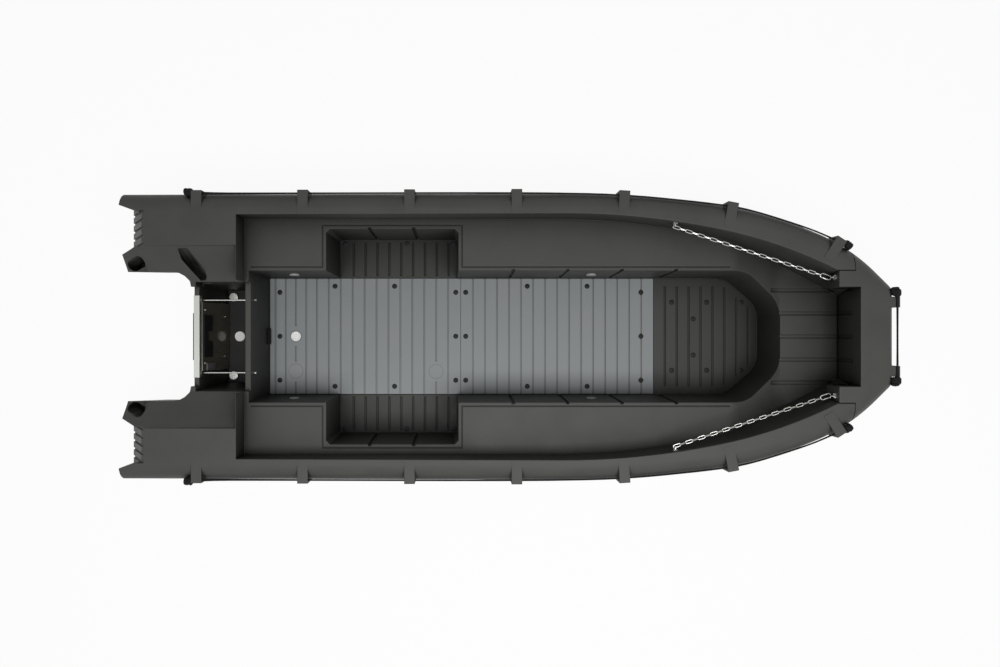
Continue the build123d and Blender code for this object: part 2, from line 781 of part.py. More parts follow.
with BuildPart() as moulded_grooves:
    well_floor = floor_height - side_well_sink
    with BuildSketch(Plane.XY.offset(well_floor - floor_groove_depth)):
        for side in (1, -1):
            middle_y = side * (cockpit_half + side_well_outer_y) / 2
            with Locations([(x, middle_y) for x in well_groove_places]):
                Rectangle(floor_groove_width, side_well_outer_y - cockpit_half - 2 * side_well_corner)
    extrude(amount=floor_groove_depth + overrun)
    with BuildSketch(Plane.XY.offset(floor_height - floor_groove_depth)):
        for number in range(1, bow_groove_count + 1):
            x = plate_front_x + number * board_pitch
            past_corner = max(0, x - cockpit_corner_start_x)
            half = cockpit_half - past_corner * (cockpit_half - cockpit_corner_end_y) / cockpit_corner_length
            with Locations((x, 0)):
                Rectangle(floor_groove_width, 2 * (half - overrun))
    extrude(amount=floor_groove_depth + overrun)
    deck_middle_x = (cockpit_front_x + door_face_foot_x) / 2
    with BuildSketch(Plane.XY.offset(bow_deck_height - deck_groove_depth)):
        with Locations([(deck_middle_x, y) for y in deck_groove_places]):
            Rectangle(door_face_foot_x - cockpit_front_x + 2 * overrun, deck_groove_width)
    extrude(amount=deck_groove_depth + overrun / 2)
    for side in (1, -1):
        for x, wall_half, foot in [
            *[(x, cockpit_half, floor_height) for x in bench_groove_places],
            *[
                (side_well_aft_x + share * side_well_length, side_well_outer_y, well_floor)
                for share in well_groove_shares
            ],
        ]:
            with BuildSketch(Plane.YZ.offset(x)):
                run = (bench_height + overrun - foot) * tan(radians(wall_draft))
                with BuildLine():
                    Polyline(
                        (side * (wall_half - overrun), foot),
                        (side * (wall_half + wall_groove_depth), foot),
                        (side * (wall_half + wall_groove_depth + run), bench_height + overrun),
                        (side * (wall_half - overrun), bench_height + overrun),
                        close=True,
                    )
                make_face()
            extrude(amount=wall_groove_width / 2, both=True)

with BuildPart() as lip_groove:
    edge_at_bench = (bench_height - floor_height) * tan(radians(wall_draft))
    with BuildSketch(Plane.XY.offset(bench_height - lip_groove_depth)):
        add(cockpit_plan(edge_at_bench + lip_width + lip_groove_width))
        add(cockpit_plan(edge_at_bench + lip_width), mode=Mode.SUBTRACT)
        with Locations(((cockpit_aft_x + bench_ramp_start_x) / 2, 0)):
            Rectangle(bench_ramp_start_x - cockpit_aft_x, 2 * half_beam, mode=Mode.INTERSECT)
    extrude(amount=lip_groove_depth + overrun)

with BuildPart() as hull:
    add(moulded_body.part)
    add(door_space(door_gap), mode=Mode.SUBTRACT)
    add(upper_space.part, mode=Mode.SUBTRACT)
    add(cockpit_space.part, mode=Mode.SUBTRACT)
    add(stern_cuts.part, mode=Mode.SUBTRACT)
    add(both_sides(port_step_cut.part), mode=Mode.SUBTRACT)
    add(both_sides(port_tow_eye.part), mode=Mode.SUBTRACT)
    add(passage_cut.part, mode=Mode.SUBTRACT)
    add(moulded_grooves.part, mode=Mode.SUBTRACT)
    add(lip_groove.part, mode=Mode.SUBTRACT)
    add(rod_line(rod_hole_radius, transom_aft_x - overrun, cockpit_aft_x + overrun), mode=Mode.SUBTRACT)

# The door's top is flat inside a crease and falls away outside it.
def door_top_outline(grow):
    radius = door_crease_radius + grow
    front_x = bow_x - door_crease_to_bow + grow
    side = door_arm_outer_y + grow
    with BuildLine() as outline:
        Polyline((door_arm_aft_x - overrun, 0), (door_arm_aft_x - overrun, side), (front_x - radius, side))
        JernArc((front_x - radius, side), (1, 0), radius, -90)
        Line((front_x, side - radius), (front_x, 0))
        mirror(about=Plane.XZ)
    return outline.line


with BuildPart() as door_top:
    for drop, grow in ((2 * door_crease_drop, 2 * door_crease_to_bow), (0, 0)):
        with BuildSketch(tilted_plane(gunwale_height - drop)):
            with BuildLine():
                add(door_top_outline(grow))
            make_face()
    loft(ruled=True)
    with BuildSketch(Plane.XY):
        with Locations((bow_x, 0)):
            Rectangle(3 * door_arm_to_bow, 2 * half_beam)
    extrude(amount=gunwale_z(bow_x) - 2 * door_crease_drop)

door_face_lean = (door_face_foot_x - door_face_head_x) / (wall_head_height - bow_deck_height)
with BuildPart() as door_face_grooves:
    for y in deck_groove_places:
        with BuildSketch(Plane.XZ.offset(-y)):
            with BuildLine():
                head_z = gunwale_height - gunwale_width / 2
                head_x = door_face_foot_x - door_face_lean * (head_z - bow_deck_height)
                foot_x = door_face_foot_x + door_face_lean * overrun
                Polyline(
                    (head_x - overrun, head_z),
                    (head_x + deck_groove_depth, head_z),
                    (foot_x + deck_groove_depth, bow_deck_height - overrun),
                    (foot_x - overrun, bow_deck_height - overrun),
                    close=True,
                )
            make_face()
        extrude(amount=deck_groove_width / 2, both=True)

with BuildPart() as bow_door:
    add(moulded_body.part)
    add(door_space(0), mode=Mode.INTERSECT)
    add(door_top.part, mode=Mode.INTERSECT)
    add(door_face_grooves.part, mode=Mode.SUBTRACT)


# Floor plates: boards of equal width between cross grooves.
def floor_plate(start_x, end_x):
    pitch = (end_x - start_x) / plate_boards
    with BuildPart() as plate:
        with BuildSketch(Plane.XY.offset(floor_height - plate_thickness)):
            with Locations(((start_x + end_x) / 2, 0)):
                Rectangle(end_x - start_x, 2 * plate_half)
        extrude(amount=plate_thickness)
        with BuildSketch(Plane.XY.offset(floor_height - groove_depth)):
            with Locations([(start_x + pitch * number, 0) for number in range(1, plate_boards)]):
                Rectangle(groove_width, 2 * plate_half)
        extrude(amount=plate_thickness, mode=Mode.SUBTRACT)
    return plate.part


floor_plate_aft = floor_plate(plate_aft_x, plate_seam_x - plate_gap / 2)
floor_plate_forward = floor_plate(plate_seam_x + plate_gap / 2, plate_front_x)


def fastener_places():
    """Two rows of three near the ends of each plate, two rows of two between them."""
    places = []
    end_y, flank_y = plate_half - fastener_end_inset, plate_half - fastener_side_inset
    for start_x, end_x, shares in (
        (plate_aft_x, plate_seam_x, aft_fastener_row_shares),
        (plate_seam_x, plate_front_x, forward_fastener_row_shares),
    ):
        for share in shares:
            x = start_x + share * (end_x - start_x)
            if share in (shares[0], shares[-1]):
                places += [(x, -end_y), (x, 0), (x, end_y)]
            else:
                places += [(x, -flank_y), (x, flank_y)]
    return places


with BuildPart() as plate_fasteners:
    with BuildSketch(Plane.XY.offset(floor_height)):
        with Locations(fastener_places()):
            RegularPolygon(fastener_radius, fastener_sides)
    extrude(amount=fastener_height)


def flat_cap(x, height):
    """Flat screw cap on a floor, on the centreline."""
    with BuildPart() as cap:
        with BuildSketch(Plane.XY.offset(height)):
            with Locations((x, 0)):
                RegularPolygon(cap_radius, cap_sides)
        extrude(amount=cap_height)
    return cap.part


splash_foot_x = transom_x(splashwell_height, transom_wall)
inspection_cap = flat_cap(plate_aft_x + floor_cap_set_in, floor_height)
splashwell_cap = flat_cap(splash_foot_x + splash_cap_set_in, splashwell_height)

# Transom: channel over its top edge, pads and plate on its raked faces.
slant = 1 / cos(radians(transom_rake))


def raked_slab(foot, head, from_aft_face, thickness, half, middle_y=0):
    """Slab on the raked transom between two heights, its back a distance forward of the aft face."""
    back = from_aft_face * slant
    front = (from_aft_face + thickness) * slant
    with BuildPart() as slab:
        with BuildSketch(Plane.XZ.offset(-middle_y)):
            with BuildLine():
                Polyline(
                    (transom_x(foot, back), foot),
                    (transom_x(foot, front), foot),
                    (transom_x(head, front), head),
                    (transom_x(head, back), head),
                    close=True,
                )
            make_face()
        extrude(amount=half, both=True)
    return slab.part


wall_through = transom_wall / slant
with BuildPart() as transom_cap:
    add(raked_slab(transom_height - cap_skirt, transom_height, -cap_sheet, cap_sheet, cap_half))
    add(raked_slab(transom_height - cap_lip, transom_height, wall_through, cap_sheet, cap_half))
    cap_top = transom_height + cap_sheet
    add(raked_slab(transom_height, cap_top, -cap_sheet, wall_through + 2 * cap_sheet, cap_half))
    add(rod_line(rod_hole_radius, transom_aft_x - overrun, bulkhead_aft_x), mode=Mode.SUBTRACT)

outer_pad_head = transom_height - outer_pad_drop
outer_pad_foot = outer_pad_head - outer_pad_height
outer_pad = raked_slab(
    outer_pad_foot, outer_pad_head, -cap_sheet - outer_pad_thickness, outer_pad_thickness, outer_pad_half
)
inner_plate_head = transom_height - cap_lip - seat_gap
inner_plate_foot = splashwell_height + inner_plate_foot_gap
inner_plate = raked_slab(
    inner_plate_foot, inner_plate_head, wall_through, inner_plate_thickness, inner_plate_half
)
inner_face = wall_through + inner_plate_thickness
with BuildPart() as inner_pad:
    pad_foot = inner_plate_head - inner_pad_height
    add(raked_slab(pad_foot, inner_plate_head, inner_face, inner_pad_thickness, inner_pad_half))
    with BuildSketch(Plane.YZ.offset(transom_aft_x)):
        with Locations((0, pad_foot)):
            Rectangle(2 * inner_pad_notch_half, 2 * inner_pad_notch_depth)
    extrude(amount=bulkhead_aft_x - transom_aft_x, mode=Mode.SUBTRACT)
socket_middle_height = transom_height - socket_drop
socket_plate = raked_slab(
    socket_middle_height - socket_height / 2,
    socket_middle_height + socket_height / 2,
    inner_face,
    socket_thickness,
    socket_width / 2,
    socket_edge_gap + socket_width / 2 - inner_plate_half,
)


def tie_rod(side):
    """Threaded rod with a nut outside the transom and a cap nut before the bulkhead."""
    nut_face_x = transom_x(rod_height, -cap_sheet * slant) - nut_radius * rake - seat_gap
    nut_foot = rod_height - nut_radius
    cap_nut_x = cockpit_aft_x - (nut_foot - floor_height) * tan(radians(wall_draft)) + seat_gap
    with BuildPart() as rod:
        for start_x, end_x, radius in (
            (nut_face_x - nut_length - rod_tail, cap_nut_x + nut_length, rod_radius),
            (nut_face_x - nut_length, nut_face_x, nut_radius),
            (cap_nut_x, cap_nut_x + nut_length, nut_radius),
        ):
            with BuildSketch(Plane.YZ.offset(start_x)):
                with Locations((side * rod_y, rod_height)):
                    RegularPolygon(radius, 6 if radius == nut_radius else hinge_barrel_sides)
            extrude(amount=end_x - start_x)
    return rod.part


def drain_bung(side):
    bung_x = splash_foot_x + bung_gap + bung_radius
    bung_y = splashwell_foot_half - bung_side_gap - bung_radius
    with BuildPart() as bung:
        with BuildSketch(Plane.XY.offset(splashwell_height)):
            with Locations((bung_x, side * bung_y)):
                RegularPolygon(bung_radius, cap_sides)
        extrude(amount=bung_height)
        chamfer(bung.edges().group_by(Axis.Z)[-1], bung_height / 4)
    return bung.part


with BuildPart() as drain_block:
    with BuildSketch(Plane.XY.offset(floor_height + drain_block_foot)):
        with Locations((cockpit_aft_x + seat_gap + drain_block_length / 2, 0)):
            Rectangle(drain_block_length, 2 * drain_block_half)
    extrude(amount=drain_block_height)

# Round discs on the cockpit walls.
with BuildPart() as wall_discs:
    draft = radians(wall_draft)
    wall_at_disc = cockpit_half + (disc_height - floor_height) * tan(draft)
    for side in (1, -1):
        for x in disc_places_x:
            inward = (0, -side * cos(draft), sin(draft))
            with BuildSketch(
                Plane(origin=(x, side * (wall_at_disc - seat_gap), disc_height), x_dir=(1, 0, 0), z_dir=inward)
            ):
                RegularPolygon(disc_radius, cap_sides)
            extrude(amount=disc_thickness)


# Chain eyes: a staple of eight-sided bar on a small plate.
def staple_eye(foot, outward):
    with BuildPart() as eye:
        with BuildSketch(Plane(origin=foot, x_dir=(0, 0, 1), z_dir=outward)) as plate_sketch:
            Rectangle(2 * eye_plate_half, 2 * eye_plate_half)
            chamfer(plate_sketch.vertices(), eye_plate_corner)
        extrude(amount=eye_plate_thickness)
        side_plane = Plane(origin=foot, x_dir=outward, z_dir=Vector(*outward).cross(Vector(0, 0, 1)))
        with BuildLine(side_plane):
            Polyline(
                (0, -eye_half_height),
                (eye_reach - eye_corner, -eye_half_height),
                (eye_reach, eye_corner - eye_half_height),
                (eye_reach, eye_half_height - eye_corner),
                (eye_reach - eye_corner, eye_half_height),
                (0, eye_half_height),
            )
        with BuildSketch(Plane(origin=side_plane.from_local_coords((0, -eye_half_height)), z_dir=outward)):
            RegularPolygon(eye_bar_radius, 8, major_radius=False, rotation=180 / 8)
        sweep(transition=Transition.RIGHT)
    return eye.part


chain_eye_foot_y = wall_y(chain_eye_x, chain_eye_height)
wall_step = wall_y(chain_eye_x + eye_plate_half, chain_eye_height) - chain_eye_foot_y
wall_lean = wall_y(chain_eye_x, chain_eye_height + eye_plate_half) - chain_eye_foot_y
wall_inward = Vector(wall_step / eye_plate_half, -1, wall_lean / eye_plate_half).normalized()
hull_eye_foot = Vector(chain_eye_x, chain_eye_foot_y, chain_eye_height) + wall_inward * seat_gap
hull_eye_port = staple_eye(tuple(hull_eye_foot), tuple(wall_inward))
door_eye_foot = Vector(door_arm_aft_x, door_eye_y, door_eye_height)
door_eye_port = staple_eye(tuple(door_eye_foot), (-1, 0, 0))

# Chain: long links, each turned a quarter from the last, from the hull eye to a snap hook
# that lies just under the door eye's bar.
chain_start = hull_eye_foot + wall_inward * eye_reach
bar_middle = door_eye_foot - Vector(eye_reach, 0, 0)
hook_drop = eye_half_height + eye_bar_radius + hook_under_eye + hook_wire / 2
hook_target = bar_middle - Vector(0, 0, hook_drop)
chain_along = (hook_target - chain_start).normalized()
chain_up = (Vector(0, 0, 1) - chain_along * chain_along.Z).normalized()
chain_aside = chain_up.cross(chain_along)
hook_tip_run = (hook_target - chain_start).length + hook_past_bar
link_pitch = (hook_tip_run + eye_bar_radius + eye_play + hook_wire - hook_length) / link_count
link_inner_length = link_pitch + link_gap
first_link_run = link_inner_length / 2 - eye_bar_radius - eye_play
last_link_end_run = first_link_run + (link_count - 1) * link_pitch + link_inner_length / 2


def ring(inner_length, inner_width, wire, corner):
    """Flat ring of square wire with cut outer corners, its length along X."""
    with BuildPart() as piece:
        with BuildSketch() as outline:
            Rectangle(inner_length + 2 * wire, inner_width + 2 * wire)
            chamfer(outline.vertices(), corner)
            Rectangle(inner_length, inner_width, mode=Mode.SUBTRACT)
        extrude(amount=wire / 2, both=True)
    return piece.part


def on_chain(run, through):
    """Place on the chain's line at a distance from the hull eye's bar."""
    return Plane(origin=chain_start + chain_along * run, x_dir=chain_along, z_dir=through).location


link = ring(link_inner_length, link_inner_width, link_wire, link_corner)
with BuildPart() as chain_port:
    for number in range(link_count):
        through = chain_aside if number % 2 else chain_up
        add(link.moved(on_chain(first_link_run + number * link_pitch, through)))

with BuildPart() as snap_hook_port:
    hook = ring(hook_length - 2 * hook_wire, hook_width - 2 * hook_wire, hook_wire, hook_corner)
    add(hook.moved(on_chain(hook_tip_run - hook_length / 2, chain_up)))


# Grab lines: through every rib, with a knot outside the first and the last.
def rope(points, knots):
    """Taut rope with straight runs, and knots, each with its middle and the direction of its rope."""
    with BuildPart() as line:
        with BuildLine() as path:
            Polyline(*points)
        with BuildSketch(Plane(origin=points[0], z_dir=path.line % 0)):
            RegularPolygon(rope_radius, rope_sides)
        sweep(transition=Transition.RIGHT)
        for place, along in knots:
            sections = []
            for run_share, radius_share in knot_shares:
                section_place = place + along * (run_share * knot_length)
                with BuildSketch(Plane(origin=section_place, z_dir=along)) as section:
                    RegularPolygon(radius_share * knot_radius, knot_sides)
                sections.append(section.sketch)
            loft(sections, ruled=True)
    return line.part


def rope_bend(run_share, inset_share):
    """Where the rope bends round the bow between the last side rib and the cheek's rib."""
    last_rib_x = bow_x - last_rib_to_bow
    x = last_rib_x + run_share * (cheek_rib_x - last_rib_x)
    return Vector(x, side_y(x) - inset_share * rope_inset, gunwale_z(x) - rope_drop)


side_ribs = [rope_place(*row) for row in rib_rows()[:-1]]
knot_stand_off = rib_width / 2 + seat_gap + knot_length / 2
aft_rope = Vector(-1, 0, -tan(radians(gunwale_rise_angle)))
cheek_heading = rib_plane(0, 0, cheek_rib_turn).z_dir
cheek_outward = rib_plane(0, 0, cheek_rib_turn).x_dir
rope_ends = (side_ribs[0] + aft_rope * knot_stand_off, side_ribs[-1] + cheek_heading * knot_stand_off)
grab_line_port = rope(
    [rope_ends[0]]
    + side_ribs[3:rib_count]
    + [rope_bend(*shares) for shares in rope_bend_shares]
    + [side_ribs[-1], rope_ends[1]],
    (
        (rope_ends[0] + Vector(0, knot_outset, 0), Vector(1, 0, 0)),
        (rope_ends[1] + cheek_outward * knot_outset, cheek_heading),
    ),
)
bow_rib = rope_place(*rib_rows()[-1])
bow_knots = [Vector(bow_rib.X, side * (door_rib_y + knot_stand_off), bow_rib.Z) for side in (1, -1)]
grab_line_bow = rope(bow_knots, [(place, Vector(0, 1, 0)) for place in bow_knots])

# Strap hinges on the raked outer faces. The barrels lie outside the seam.
outward = (stem_along[1], -stem_along[0])
hinge_x = door_sill_x + door_gap / 2 + outward[0] * (hinge_barrel_radius + seat_gap)
hinge_z = door_sill_height + door_gap / 2 + outward[1] * (hinge_barrel_radius + seat_gap)


def hinge_leaf(direction, own_knuckles):
    """Leaf along the raked face, up for the door or down for the hull, with its own knuckles."""
    knuckle = hinge_width / 3
    with BuildPart() as leaf:
        for y in hinge_places_y:
            for number in range(3):
                start_y = y - hinge_width / 2 + number * knuckle
                plane = Plane(
                    origin=(hinge_x, start_y, hinge_z),
                    x_dir=(direction * stem_along[0], 0, direction * stem_along[1]),
                    z_dir=(0, 1, 0),
                )
                toward_hull = -1 if plane.y_dir.dot(Vector(outward[0], 0, outward[1])) > 0 else 1
                seat = hinge_barrel_radius - hinge_leaf_thickness / 2
                with BuildSketch(plane):
                    with Locations(((hinge_leaf_gap + hinge_leaf_length) / 2, toward_hull * seat)):
                        Rectangle(hinge_leaf_length - hinge_leaf_gap, hinge_leaf_thickness)
                    if number in own_knuckles:
                        RegularPolygon(hinge_barrel_radius, hinge_barrel_sides)
                        Circle(hinge_pin_radius + hinge_bore_clearance, mode=Mode.SUBTRACT)
                    else:
                        RegularPolygon(
                            hinge_barrel_radius + hinge_knuckle_gap,
                            hinge_barrel_sides,
                            major_radius=False,
                            mode=Mode.SUBTRACT,
                        )
                extrude(amount=knuckle)
        for y in hinge_places_y:
            for number in (1, 2):
                seam_y = y - hinge_width / 2 + number * knuckle
                with BuildSketch(Plane.XZ.offset(-seam_y)):
                    with Locations((hinge_x, hinge_z)):
                        RegularPolygon(hinge_barrel_radius + hinge_knuckle_gap, hinge_barrel_sides)
                extrude(amount=hinge_knuckle_gap / 2, both=True, mode=Mode.SUBTRACT)
    return leaf.part


hinge_hull_leaves = hinge_leaf(-1, (0, 2))
hinge_door_leaves = hinge_leaf(1, (1,))
with BuildPart() as hinge_pins:
    for y in hinge_places_y:
        with BuildSketch(Plane.XZ.offset(-y)):
            with Locations((hinge_x, hinge_z)):
                Circle(hinge_pin_radius)
        extrude(amount=hinge_width / 2, both=True)

pieces = {
    "hull": hull.part,
    "floor_plate_aft": floor_plate_aft,
    "floor_plate_forward": floor_plate_forward,
    "plate_fasteners": plate_fasteners.part,
    "inspection_cap": inspection_cap,
    "transom_cap": transom_cap.part,
    "transom_outer_pad": outer_pad,
    "transom_inner_plate": inner_plate,
    "transom_inner_pad": inner_pad.part,
    "socket_plate": socket_plate,
    "tie_rod_port": tie_rod(1),
    "tie_rod_starboard": tie_rod(-1),
    "drain_bung_port": drain_bung(1),
    "drain_bung_starboard": drain_bung(-1),
    "drain_block": drain_block.part,
    "splashwell_cap": splashwell_cap,
    "wall_discs": wall_discs.part,
    "hull_eye_port": hull_eye_port,
    "hull_eye_starboard": hull_eye_port.mirror(Plane.XZ),
    "grab_line_port": grab_line_port,
    "grab_line_starboard": grab_line_port.mirror(Plane.XZ),
    "hinge_hull_leaves": hinge_hull_leaves,
    "hinge_pins": hinge_pins.part,
    "bow_door": bow_door.part,
    "hinge_door_leaves": hinge_door_leaves,
    "door_eye_port": door_eye_port,
    "door_eye_starboard": door_eye_port.mirror(Plane.XZ),
    "grab_line_bow": grab_line_bow,
    "chain_port": chain_port.part,
    "chain_starboard": chain_port.part.mirror(Plane.XZ),
    "snap_hook_port": snap_hook_port.part,
    "snap_hook_starboard": snap_hook_port.part.mirror(Plane.XZ),
}
for name, part in pieces.items():
    part.label = name
    export_step(part, f"parts/{name}.step")

print("door axis", hinge_x, hinge_z)
print("chain", chain_start, chain_along, "pitch", link_pitch)
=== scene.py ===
"""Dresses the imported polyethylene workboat. Metres, with X to the bow, Y to port and Z up."""

import math
import random

import bmesh
import bpy
from mathutils import Matrix, Vector


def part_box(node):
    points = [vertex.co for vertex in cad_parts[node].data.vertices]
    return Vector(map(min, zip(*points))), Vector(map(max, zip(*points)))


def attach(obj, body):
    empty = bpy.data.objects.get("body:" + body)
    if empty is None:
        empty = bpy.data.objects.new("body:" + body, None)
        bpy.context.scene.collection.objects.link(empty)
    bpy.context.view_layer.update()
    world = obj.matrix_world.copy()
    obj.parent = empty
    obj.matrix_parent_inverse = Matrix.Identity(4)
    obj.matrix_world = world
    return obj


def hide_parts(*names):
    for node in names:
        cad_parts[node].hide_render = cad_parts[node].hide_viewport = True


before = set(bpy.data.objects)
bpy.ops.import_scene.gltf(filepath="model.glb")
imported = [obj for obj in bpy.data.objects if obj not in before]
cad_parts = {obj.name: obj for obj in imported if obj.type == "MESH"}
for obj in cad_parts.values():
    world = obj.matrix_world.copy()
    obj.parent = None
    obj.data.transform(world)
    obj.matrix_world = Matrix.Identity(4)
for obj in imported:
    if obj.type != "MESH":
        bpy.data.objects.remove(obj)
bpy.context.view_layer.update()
mm = 0.001


# Finishes.
def linear(hex_colour):
    """A colour given as sRGB hex, as the linear values that a shader takes."""
    values = [int(hex_colour[i : i + 2], 16) / 255 for i in (1, 3, 5)]
    return [v / 12.92 if v <= 0.04045 else ((v + 0.055) / 1.055) ** 2.4 for v in values] + [1]


def add(tree, kind, values=None, links=None, **settings):
    """Adds one shader node: its settings, the values of its inputs, and the sockets that lead into them."""
    made = tree.nodes.new("ShaderNode" + kind)
    for name, value in settings.items():
        setattr(made, name, value)
    for name, value in (values or {}).items():
        made.inputs[name].default_value = value
    for name, socket in (links or {}).items():
        tree.links.new(socket, made.inputs[name])
    return made


def background_rays(tree):
    """1 for the rays that show the background: straight to the camera, or by way of metal or glass."""
    rays = add(tree, "LightPath")
    seen = rays.outputs["Is Camera Ray"]
    for kind in ("Is Glossy Ray", "Is Transmission Ray"):
        seen = add(tree, "Math", links={0: seen, 1: rays.outputs[kind]}, operation="MAXIMUM").outputs["Value"]
    return seen


def surface(
    name,
    colour,
    patch_colour,
    roughness,
    grain,
    patch,
    metallic=0.0,
    stretch=(1, 1, 1),
    painted_shade=(),
    edge=0,
    gloss_level=0.5,
):
    """A finish with grain in its bump, patches in its colour and gloss, and painted shade in its hollows.

    roughness is (least, most), grain (size, depth) and patch its size, in millimetres. stretch draws both out.
    painted_shade has a row for each size of hollow, each painting shade into the colour where ambient occlusion
    finds the place closed in: its reach in millimetres, the openness where the painted shade is full and where it
    ends, and its dark colour. edge is how far the light rolls over a corner, in millimetres, and gloss_level the
    strength of its reflections, where 0.5 is the plain level of a plastic.
    """
    material = bpy.data.materials.new(name)
    material.use_nodes = True
    tree = material.node_tree
    shader = tree.nodes["Principled BSDF"]
    shader.inputs["Metallic"].default_value = metallic
    shader.inputs["Specular IOR Level"].default_value = gloss_level
    place = add(tree, "TexCoord").outputs["Object"]
    place = add(tree, "Mapping", {"Scale": stretch}, {"Vector": place}).outputs["Vector"]
    size, depth = grain
    grains = add(tree, "TexNoise", {"Scale": 1 / (size * mm), "Detail": 3.0, "Roughness": 0.6}, {"Vector": place})
    patches = add(tree, "TexNoise", {"Scale": 1 / (patch * mm), "Detail": 5.0, "Roughness": 0.6}, {"Vector": place})
    share = add(
        tree, "MapRange", {"From Min": 0.35, "From Max": 0.65}, {"Value": patches.outputs["Fac"]}
    ).outputs["Result"]
    colours = add(tree, "Mix", {6: linear(colour), 7: linear(patch_colour)}, {0: share}, data_type="RGBA")
    gloss = add(tree, "MapRange", {"To Min": roughness[0], "To Max": roughness[1]}, {"Value": share})
    bump = add(tree, "Bump", {"Strength": 0.6, "Distance": depth * mm}, {"Height": grains.outputs["Fac"]})
    if edge:
        soft = add(tree, "Bevel", {"Radius": edge * mm}, samples=6)
        tree.links.new(soft.outputs["Normal"], bump.inputs["Normal"])
    tone = colours.outputs[2]
    # Each row paints shade into the colour: the more closed in ambient occlusion finds the place, the nearer the
    # colour goes to the row's dark colour.
    for reach, full, clear, dark in painted_shade:
        open_share = add(tree, "AmbientOcclusion", {"Distance": reach * mm}, samples=8).outputs["AO"]
        left = add(tree, "MapRange", {"From Min": full, "From Max": clear}, {"Value": open_share}).outputs["Result"]
        tone = add(tree, "Mix", {6: linear(dark)}, {0: left, 7: tone}, data_type="RGBA").outputs[2]
    tree.links.new(tone, shader.inputs["Base Color"])
    tree.links.new(gloss.outputs["Result"], shader.inputs["Roughness"])
    tree.links.new(bump.outputs["Normal"], shader.inputs["Normal"])
    return material


# Rotomoulded black polyethylene: the mould's fine grain scatters the light to a dull grey. The real grain is finer
# than 1 mm and is drawn at 3 mm, so that it shows. The first row of painted shade darkens the wells and the deep
# floors, the second paints shade into the grooves.
HULL_PAINTED_SHADE = ((700, 0.32, 0.92, "#0c0c0b"), (25, 0.4, 0.9, "#080807"))
polyethylene = surface(
    "rotomoulded_polyethylene",
    "#444442",
    "#4b4b48",
    (0.48, 0.6),
    (3, 0.12),
    260,
    painted_shade=HULL_PAINTED_SHADE,
    edge=10,
    gloss_level=0.25,
)
# Extruded grey polyethylene sheet: a tight pebble grain with a faint blue cast, and painted shade in the grooves.
PLATE_PAINTED_SHADE = ((14, 0.5, 0.95, "#4a4c4c"),)
plate_sheet = surface(
    "pebbled_polyethylene_sheet", "#797e80", "#818485", (0.42, 0.52), (4, 0.15), 300, painted_shade=PLATE_PAINTED_SHADE
)
# Polished stainless steel: bright, with soft handling marks.
stainless = surface("polished_stainless_steel", "#c8c8c4", "#b4b4b0", (0.2, 0.34), (2, 0.02), 12, metallic=1.0)
# Brushed aluminium sheet: drawn out along the transom.
aluminium = surface("brushed_aluminium", "#b1b4ae", "#a9aca6", (0.34, 0.46), (1.5, 0.02), 20, 1.0, (6, 0.3, 6))
# Injection moulded ABS: smooth, with a soft gloss. White for the screw caps, grey for the wall discs and dark grey
# for the socket plate.
white_abs = surface("white_abs", "#fbfbf9", "#f1f1ee", (0.3, 0.4), (2, 0.02), 40)
grey_abs = surface("grey_abs", "#a6a8a6", "#9c9e9d", (0.3, 0.42), (2, 0.02), 40)
dark_abs = surface("dark_grey_abs", "#484848", "#505050", (0.4, 0.5), (2, 0.02), 40)
# Nylon plugs and moulded rubber pads: black with a dull sheen.
black_plug = surface("black_nylon", "#0c0c0d", "#141516", (0.5, 0.65), (1.5, 0.03), 30, gloss_level=0.25)
rubber = surface("moulded_rubber", "#080808", "#0f0f0f", (0.6, 0.75), (2, 0.05), 50, gloss_level=0.15)
# Phenolic faced plate: smooth and glossy, so that the cap and the rods show in it.
gloss_plate = surface("phenolic_board", "#3f3c35", "#45423a", (0.1, 0.16), (3, 0.01), 80, gloss_level=1.0)
# Braided polyester rope: black, with the braid as a short ripple.
rope_black = surface("braided_polyester", "#0d0d0d", "#161616", (0.7, 0.85), (5, 0.8), 30, gloss_level=0.2)


# Shapes. Faces meet at a sharp edge above SHARP_ANGLE degrees, and count as one flat face below FLAT_ANGLE. A bevel
# takes up at most ROOM_SHARE of the narrow face beside it.
SHARP_ANGLE, FLAT_ANGLE = 24, 0.4
ROOM_SHARE = 0.8
JOIN_DISTANCE = 0.02 * mm


def merged(name):
    """A copy of a CAD node's shape with its triangles joined at their corners."""
    bm = bmesh.new()
    bm.from_mesh(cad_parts[name].data)
    bmesh.ops.remove_doubles(bm, verts=bm.verts, dist=JOIN_DISTANCE)
    return bm


def solids(name):
    """The lowest and highest corner of each separate solid of a CAD node."""
    bm = merged(name)
    found, boxes = set(), []
    for start in bm.verts:
        if start in found:
            continue
        found.add(start)
        front, island = [start], []
        while front:
            vert = front.pop()
            island.append(vert.co.copy())
            near = {edge.other_vert(vert) for edge in vert.link_edges} - found
            found |= near
            front += near
        boxes.append([Vector(pick(p[i] for p in island) for i in range(3)) for pick in (min, max)])
    bm.free()
    return boxes


def weigh_edges(bm, width):
    """Outer corners get a bevel weight: the whole width, or less where a flat face beside them is narrow."""
    flats = bm.copy()
    bmesh.ops.dissolve_limit(flats, angle_limit=math.radians(FLAT_ANGLE), verts=[], edges=flats.edges)
    room = {
        frozenset(tuple(vert.co) for vert in edge.verts): min(
            face.calc_area() / face.calc_perimeter() for face in edge.link_faces
        )
        for edge in flats.edges
        if edge.link_faces
    }
    flats.free()
    weights = bm.edges.layers.float.new("bevel_weight_edge")
    for edge in bm.edges:
        if len(edge.link_faces) == 2 and edge.is_convex and edge.calc_face_angle(0) > math.radians(SHARP_ANGLE):
            near = room.get(frozenset(tuple(vert.co) for vert in edge.verts), 0)
            edge[weights] = min(1, ROOM_SHARE * near / (width * mm))


